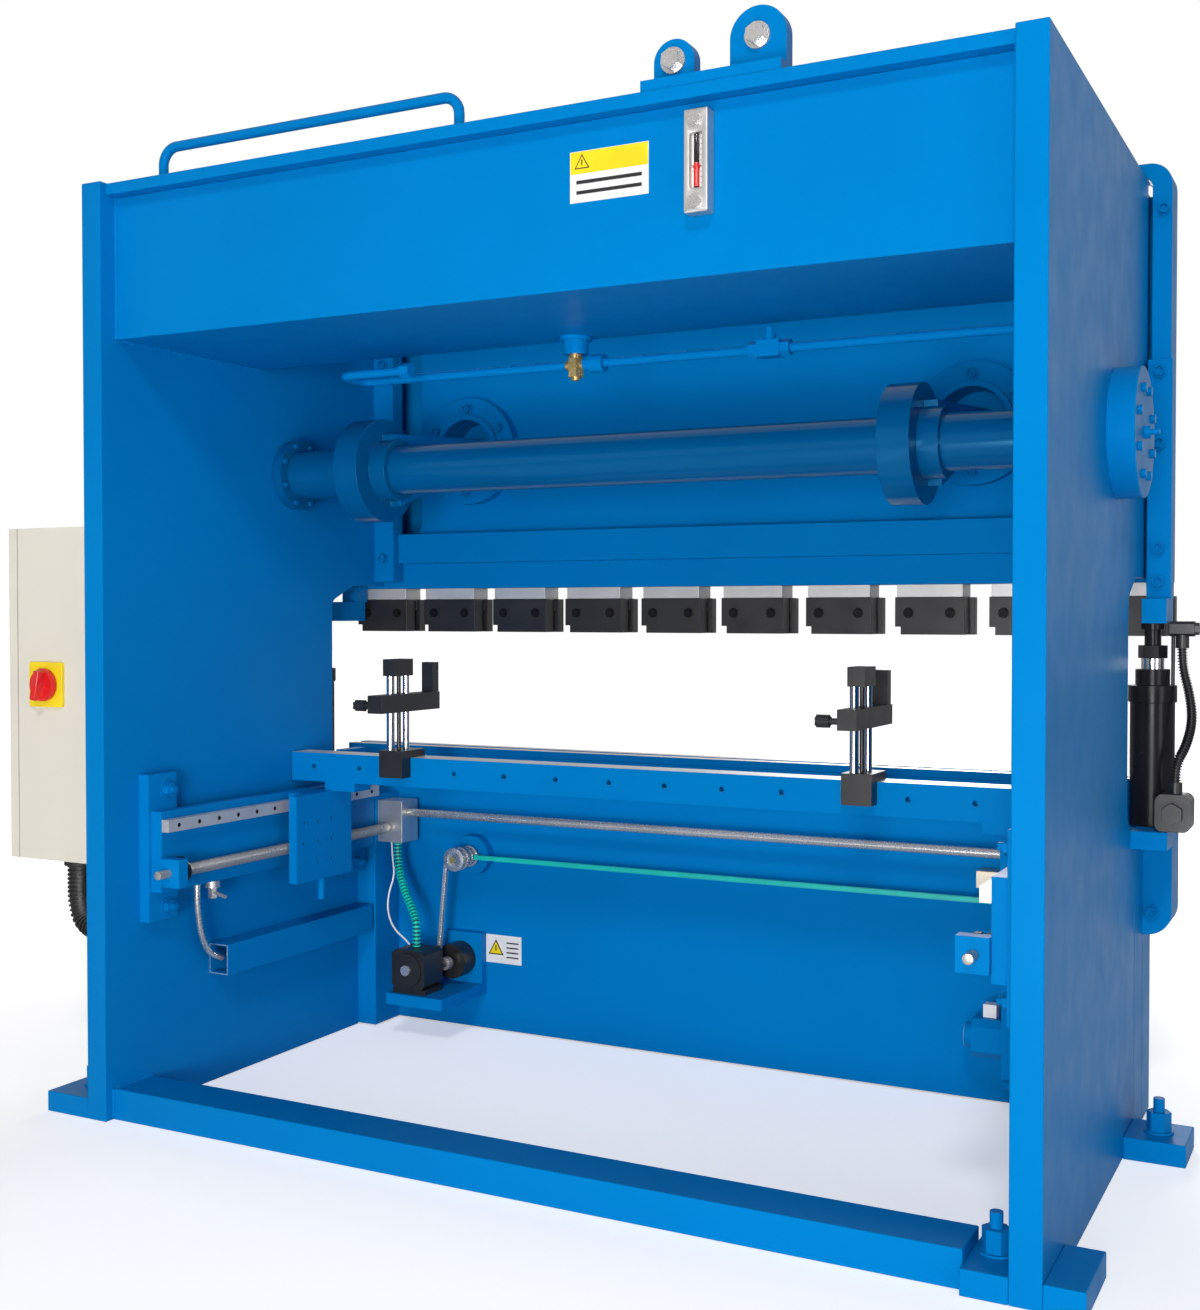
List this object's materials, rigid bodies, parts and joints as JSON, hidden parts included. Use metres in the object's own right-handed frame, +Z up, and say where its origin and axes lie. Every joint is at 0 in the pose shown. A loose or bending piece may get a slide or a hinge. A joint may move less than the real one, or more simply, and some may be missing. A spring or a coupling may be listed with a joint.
{
  "type": "press brake",
  "caption": "Hydraulic press brake: side frames, oil tank, torsion-bar ram with tool clamps, bed, powered back gauge with fingers, side cylinders and control cabinet.",
  "frame": {"origin": "bottom centre of the machine's overall box, on the floor", "axes": "+X along the bed, +Y from the back-gauge side towards the operator, +Z up"},
  "size_m": [2.197, 1.0264, 1.917],
  "materials": {
    "machine_blue": "satin",
    "painted_fasteners": "satin",
    "bar_blue": "satin",
    "ground_steel": "ground",
    "sight_metal": "satin",
    "brass": "machined",
    "black_oxide": "satin",
    "chromed_rod": "polished",
    "black_hose": "ribbed",
    "cabinet_cream": "powder coat",
    "switch_yellow": "moulded",
    "switch_red": "moulded",
    "finger_black": "black oxide",
    "knob_black": "moulded",
    "pulley_steel": "turned",
    "belt_teal": "toothed",
    "hose_teal": "ribbed"
  },
  "bodies": {
    "frame": {"anchor_bolts": "painted_fasteners", "bed": "machine_blue", "bed_posts": "machine_blue", "brass_fittings": "brass", "cabinet_box": "cabinet_cream", "cable_channel": "machine_blue", "cable_conduit": "black_hose", "cylinder_barrels": "black_oxide", "cylinder_brackets": "machine_blue", "drive_belts": "belt_teal", "drive_brackets": "machine_blue", "drive_motor": "black_oxide", "foot_blocks": "machine_blue", "frame_bolts": "painted_fasteners", "gauge_plates": "machine_blue", "handrail": "machine_blue", "hose_fittings": "black_oxide", "hydraulic_hoses": "black_hose", "lifting_lugs": "machine_blue", "linear_rails": "ground_steel", "oil_pipes": "machine_blue", "oil_tank": "machine_blue", "pump_unit": "machine_blue", "ram_guides": "machine_blue", "rear_floor_beam": "machine_blue", "screw_bearings": "machine_blue", "side_plate_left": "machine_blue", "side_plate_right": "machine_blue", "sight_gauge": "sight_metal", "spiral_hose": "hose_teal", "switch_plate": "switch_yellow", "table_rail": "ground_steel", "tank_lid": "machine_blue", "torsion_bearings": "machine_blue", "valve_block": "black_oxide"},
    "ram": {"ram_plate": "machine_blue", "ram_shelf": "machine_blue", "ram_bosses": "machine_blue", "ram_side_blocks": "machine_blue", "ram_bolts": "painted_fasteners", "clamp_strips": "ground_steel", "clamp_bodies": "black_oxide", "cylinder_rods": "chromed_rod"},
    "torsion": {"torsion_bar": "bar_blue", "torsion_levers": "machine_blue"},
    "gauge": {"gauge_beam": "machine_blue", "gauge_carriages": "machine_blue"},
    "screw_left": {"ball_screw_left": "ground_steel"},
    "screw_right": {"ball_screw_right": "ground_steel"},
    "cross_shaft": {"sync_shaft": "ground_steel"},
    "double_pulley": {"drive_pulley": "pulley_steel"},
    "small_pulley": {"motor_pulley": "pulley_steel"},
    "finger_left": {"finger_base_left": "finger_black"},
    "finger_left_arm": {"finger_arm_left": "finger_black"},
    "finger_left_knob": {"finger_knob_left": "knob_black"},
    "finger_right": {"finger_base_right": "finger_black"},
    "finger_right_arm": {"finger_arm_right": "finger_black"},
    "finger_right_knob": {"finger_knob_right": "knob_black"},
    "door": {"cabinet_door": "cabinet_cream"},
    "main_switch": {"switch_knob": "switch_red"}
  },
  "joints": [
    {"name": "ram_slide", "type": "slide", "parent": "frame", "child": "ram", "axis": [0, 0, 1], "range_m": [0, 0.1]},
    {"name": "torsion_turn", "type": "hinge", "parent": "frame", "child": "torsion", "pos_m": [0.0835, 0.06175, 1.286], "axis": [1, 0, 0], "range_deg": [-0.2, 17.24]},
    {"name": "gauge_slide", "type": "slide", "parent": "frame", "child": "gauge", "axis": [0, 1, 0], "range_m": [-0.3, 0.1]},
    {"name": "screw_left_turn", "type": "hinge", "parent": "frame", "child": "screw_left", "pos_m": [-0.7015, -0.51325, 0.472], "axis": [0, 1, 0], "range_deg": [-5403, 1803]},
    {"name": "screw_right_turn", "type": "hinge", "parent": "frame", "child": "screw_right", "pos_m": [0.8685, -0.51325, 0.472], "axis": [0, 1, 0], "range_deg": [-5403, 1803]},
    {"name": "cross_shaft_turn", "type": "hinge", "parent": "frame", "child": "cross_shaft", "pos_m": [0.0835, 0.33875, 0.508], "axis": [1, 0, 0], "range_deg": [-5403, 1803]},
    {"name": "double_pulley_turn", "type": "hinge", "parent": "frame", "child": "double_pulley", "pos_m": [-0.5045, -0.51325, 0.412], "axis": [0, 1, 0], "range_deg": [-5403, 1803]},
    {"name": "small_pulley_turn", "type": "hinge", "parent": "frame", "child": "small_pulley", "pos_m": [-0.5345, -0.51325, 0.168], "axis": [0, 1, 0], "range_deg": [-7563, 2523]},
    {"name": "finger_left_slide", "type": "slide", "parent": "gauge", "child": "finger_left", "axis": [1, 0, 0], "range_m": [-0.19, 0.4]},
    {"name": "finger_left_lift", "type": "slide", "parent": "finger_left", "child": "finger_left_arm", "axis": [0, 0, 1], "range_m": [-0.06, 0.035]},
    {"name": "finger_left_knob_turn", "type": "hinge", "parent": "finger_left_arm", "child": "finger_left_knob", "pos_m": [-0.5525, -0.02125, 0.783], "axis": [1, 0, 0], "range_deg": [0, 180]},
    {"name": "finger_right_slide", "type": "slide", "parent": "gauge", "child": "finger_right", "axis": [1, 0, 0], "range_m": [-0.4, 0.32]},
    {"name": "finger_right_lift", "type": "slide", "parent": "finger_right", "child": "finger_right_arm", "axis": [0, 0, 1], "range_m": [-0.06, 0.035]},
    {"name": "finger_right_knob_turn", "type": "hinge", "parent": "finger_right_arm", "child": "finger_right_knob", "pos_m": [0.4765, -0.02125, 0.783], "axis": [1, 0, 0], "range_deg": [0, 180]},
    {"name": "cabinet_door_swing", "type": "hinge", "parent": "frame", "child": "door", "pos_m": [-1.0735, -0.04625, 0.482], "axis": [0, 0, 1], "range_deg": [-110, 0]},
    {"name": "main_switch_turn", "type": "hinge", "parent": "frame", "child": "main_switch", "pos_m": [-0.9855, -0.45325, 0.836], "axis": [0, -1, 0], "range_deg": [0, 90]}
  ],
  "couplings": [
    {"joint": "torsion_turn", "follows": "ram_slide", "rad_per_m": 2.9559},
    {"joint": "screw_left_turn", "follows": "gauge_slide", "rad_per_m": 314.16},
    {"joint": "screw_right_turn", "follows": "gauge_slide", "rad_per_m": 314.16},
    {"joint": "cross_shaft_turn", "follows": "gauge_slide", "rad_per_m": 314.16},
    {"joint": "double_pulley_turn", "follows": "gauge_slide", "rad_per_m": 314.16},
    {"joint": "small_pulley_turn", "follows": "gauge_slide", "rad_per_m": 439.82}
  ]
}
